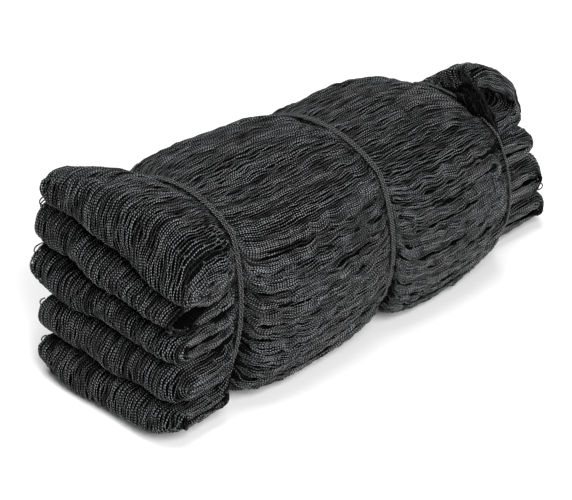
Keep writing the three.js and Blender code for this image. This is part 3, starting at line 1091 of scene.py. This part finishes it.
def skin_material():
    """The netting's depths in painted shade: the next strands down, painted dim between the outer ones."""
    material, tree, shader = new_material("netting_depths_in_painted_shade", SKIN_PAINTED_SHADE, MATT)
    shader.inputs["Specular IOR Level"].default_value = 0.0
    strand, length = point_value(tree, "strand"), point_value(tree, "length")
    wavy = maths(tree, "MULTIPLY_ADD", noise_over(tree, SKIN_WAVE_SCALE), SKIN_WAVE, strand)
    across = maths(tree, "COSINE", maths(tree, "MULTIPLY", wavy, 2 * math.pi))
    # Painted light along the crowns of the dim strands
    crown = maths(tree, "POWER", maths(tree, "MULTIPLY_ADD", across, 0.5, 0.5), SKIN_CROWN_SHARPNESS)
    plies = maths(tree, "SINE", maths(tree, "MULTIPLY", length, 2 * math.pi * TWINE_PLIES / TWINE_LAY))
    # Painted shade between the plies of the dim strands
    ridge = maths(tree, "MULTIPLY_ADD", plies, SKIN_RIDGE, 1 - SKIN_RIDGE)
    own_and_painted_lightness = maths(tree, "MULTIPLY", crown, ridge)
    tree.links.new(blended(tree, own_and_painted_lightness, SKIN_PAINTED_SHADE, SKIN_PAINTED_CROWN_LIGHT), shader.inputs["Base Color"])
    return material


# Camera, floor and lights

def add_camera():
    azimuth, elevation = math.radians(VIEW_AZIMUTH), math.radians(VIEW_ELEVATION)
    back = Vector((
        math.sin(azimuth) * math.cos(elevation),
        -math.cos(azimuth) * math.cos(elevation),
        math.sin(elevation),
    ))
    level = Vector((math.cos(azimuth), math.sin(azimuth), 0))
    upright = back.cross(level)
    roll = math.radians(VIEW_ROLL)
    right = level * math.cos(roll) + upright * math.sin(roll)
    up = upright * math.cos(roll) - level * math.sin(roll)
    data = bpy.data.cameras.new("camera")
    data.lens = VIEW_LENS
    place = Matrix((right, up, back)).transposed().to_4x4()
    place.translation = Vector(VIEW_TARGET) + back * VIEW_DISTANCE
    camera = add_object("camera", data)
    camera.matrix_world = place
    bpy.context.scene.camera = camera


def add_floor():
    shape = bmesh.new()
    bmesh.ops.create_grid(shape, x_segments=1, y_segments=1, size=FLOOR_SIZE)
    floor = finish_mesh("floor", shape)
    floor.data.materials.append(new_material("pale_floor", FLOOR_COLOUR, MATT)[0])


def add_light(light):
    data = bpy.data.lights.new(light.name, "AREA")
    data.size = light.size
    data.energy = light.power
    lamp = add_object(light.name, data)
    lamp.location = light.place
    lamp.rotation_euler = (Vector(LIGHTS_AIM) - Vector(light.place)).to_track_quat("-Z", "Y").to_euler()


def add_surroundings():
    world = bpy.data.worlds.new("studio")
    world.use_nodes = True
    background = world.node_tree.nodes["Background"]
    background.inputs["Color"].default_value = (1, 1, 1, 1)
    background.inputs["Strength"].default_value = AMBIENT
    bpy.context.scene.world = world
    bpy.context.scene.view_settings.view_transform = "Standard"
    for light in LIGHTS:
        add_light(light)


# The pieces

def ride_and_name(piece, material):
    piece.data.materials.append(material)
    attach(piece, "root")


def netting_surface(stops, faces, across, depth):
    """The band's points, uneven where it shows, with their outward and sideways directions."""
    grid = strand_grid(stops, across, depth)
    outward, _ = skin_directions(grid)
    opened = np.array([stop.opened for stop in stops], float)[:, None]
    grid = grid + outward * (relief(grid, opened) * showing_part(stops, faces))[..., None]
    return grid, *skin_directions(grid)


def add_netting():
    stops = band_stops()
    across, depth, faces = strand_places()
    grid, outward, sideways = netting_surface(stops, faces, across, depth)
    body = add_skin("netting_body", *skin_rings(grid, outward, faces))
    ride_and_name(body, skin_material())
    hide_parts("netting")
    strands = lay_strands(stops, grid, outward, sideways, faces)
    twine = twine_material("netting_twine", NETTING_DARK, NETTING_PAINTED_HIGHLIGHT, NETTING_TINTED_HIGHLIGHT, TWINE_LAY)
    names = sorted(set(strands.owner.ravel()) - {""})
    pieces = [lay_twine(name, twine_runs(strands, name)) for name in names]
    pieces.append(lay_twine("netting_loops", loose_loops()))
    knots = strands.knots & ~np.isin(strands.owner, ("", "netting_back", "netting_underside"))
    pieces.append(tie_knots("netting_knots", strands.knot_points[knots], strands.tone[knots], KNOT_RADIUS))
    for piece in pieces:
        ride_and_name(piece, twine)


def add_ties():
    twine = twine_material("tie_twine", TIE_DARK, TIE_PAINTED_HIGHLIGHT, TIE_PAINTED_HIGHLIGHT, TIE_TWINE_LAY)
    for name, tie, offset in (
        ("tie_low_outer", LOW_TIE, -TIE_PITCH / 2),
        ("tie_low_inner", LOW_TIE, TIE_PITCH / 2),
        ("tie_middle_outer", MIDDLE_TIE, -TIE_PITCH / 2),
        ("tie_middle_inner", MIDDLE_TIE, TIE_PITCH / 2),
        ("tie_high", HIGH_TIE, 0),
    ):
        piece = add_tie(name + "_twine", tie, offset)
        ride_and_name(piece, twine)
        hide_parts(name)


add_camera()
add_floor()
add_surroundings()
add_netting()
add_ties()
